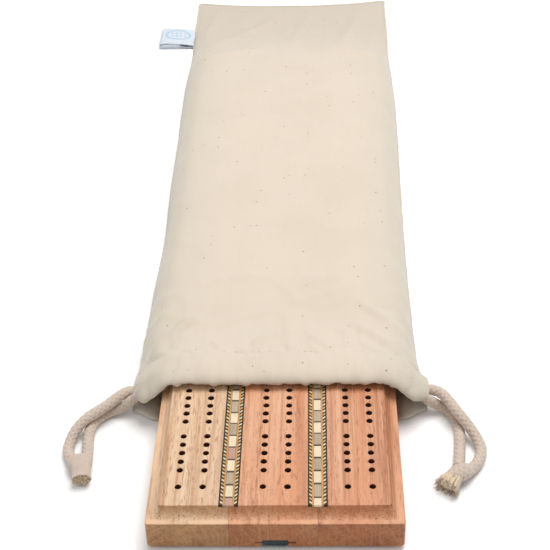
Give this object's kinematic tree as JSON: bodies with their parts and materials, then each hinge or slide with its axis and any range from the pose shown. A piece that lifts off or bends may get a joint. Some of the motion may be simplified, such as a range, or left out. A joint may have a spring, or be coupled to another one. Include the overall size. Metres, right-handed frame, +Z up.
{
  "type": "cribbage board",
  "caption": "Long oak cribbage board with pegging streets, two inlay bands, a covered peg compartment underneath and a cotton drawstring bag it slides out of.",
  "frame": {"origin": "on the face that the bag rests on, directly below the middle of the board", "axes": "+X across the board, +Y along it towards the bag's closed end, +Z up through the playing face"},
  "size_m": [0.1803, 0.5137, 0.0268],
  "materials": {
    "oak_light": "satin open-grained oak, light",
    "oak_pink": "satin open-grained oak, pinkish",
    "oak_warm": "satin open-grained oak, orange",
    "band_ebony": "dyed black veneer",
    "band_rope": "slanted black and gold veneer stripes",
    "band_gold": "golden-orange veneer",
    "band_ladder": "cream and grey-brown veneer cells",
    "steel_sheet": "brushed",
    "peg_steel": "turned and polished",
    "peg_brass": "turned and polished",
    "peg_black": "black finish",
    "cotton_cloth": "unbleached plain-weave cotton with seed flecks",
    "cotton_cord": "soft twisted cotton cord",
    "label_ribbon": "white woven ribbon"
  },
  "bodies": {
    "board": {"stave_left": "oak_light", "stave_centre": "oak_pink", "stave_right": "oak_warm", "band_left_edge_outer": "band_ebony", "band_left_rope_outer": "band_rope", "band_left_gold_outer": "band_gold", "band_left_ladder": "band_ladder", "band_left_gold_inner": "band_gold", "band_left_rope_inner": "band_rope", "band_left_edge_inner": "band_ebony", "band_right_edge_outer": "band_ebony", "band_right_rope_outer": "band_rope", "band_right_gold_outer": "band_gold", "band_right_ladder": "band_ladder", "band_right_gold_inner": "band_gold", "band_right_rope_inner": "band_rope", "band_right_edge_inner": "band_ebony", "peg_steel_1": "peg_steel", "peg_steel_2": "peg_steel", "peg_steel_3": "peg_steel", "peg_brass_1": "peg_brass", "peg_brass_2": "peg_brass", "peg_brass_3": "peg_brass", "peg_black_1": "peg_black", "peg_black_2": "peg_black", "peg_black_3": "peg_black"},
    "cover": {"compartment_cover": "steel_sheet"},
    "bag": {"bag_upper_panel": "cotton_cloth", "bag_lower_panel": "cotton_cloth", "bag_upper_casing": "cotton_cloth", "bag_lower_casing": "cotton_cloth", "drawcord_run_front": "cotton_cord", "drawcord_run_back": "cotton_cord", "drawcord_left_over": "cotton_cord", "drawcord_left_under": "cotton_cord", "drawcord_right_over": "cotton_cord", "drawcord_right_under": "cotton_cord", "drawcord_left_knot": "cotton_cord", "drawcord_right_knot": "cotton_cord", "bag_label": "label_ribbon"}
  },
  "joints": [
    {"name": "bag_pull", "type": "slide", "parent": "board", "child": "bag", "axis": [0, 1, 0], "range_m": [0, 0.34]},
    {"name": "cover_slide", "type": "slide", "parent": "board", "child": "cover", "axis": [0, -1, 0], "range_m": [0, 0.098]}
  ]
}
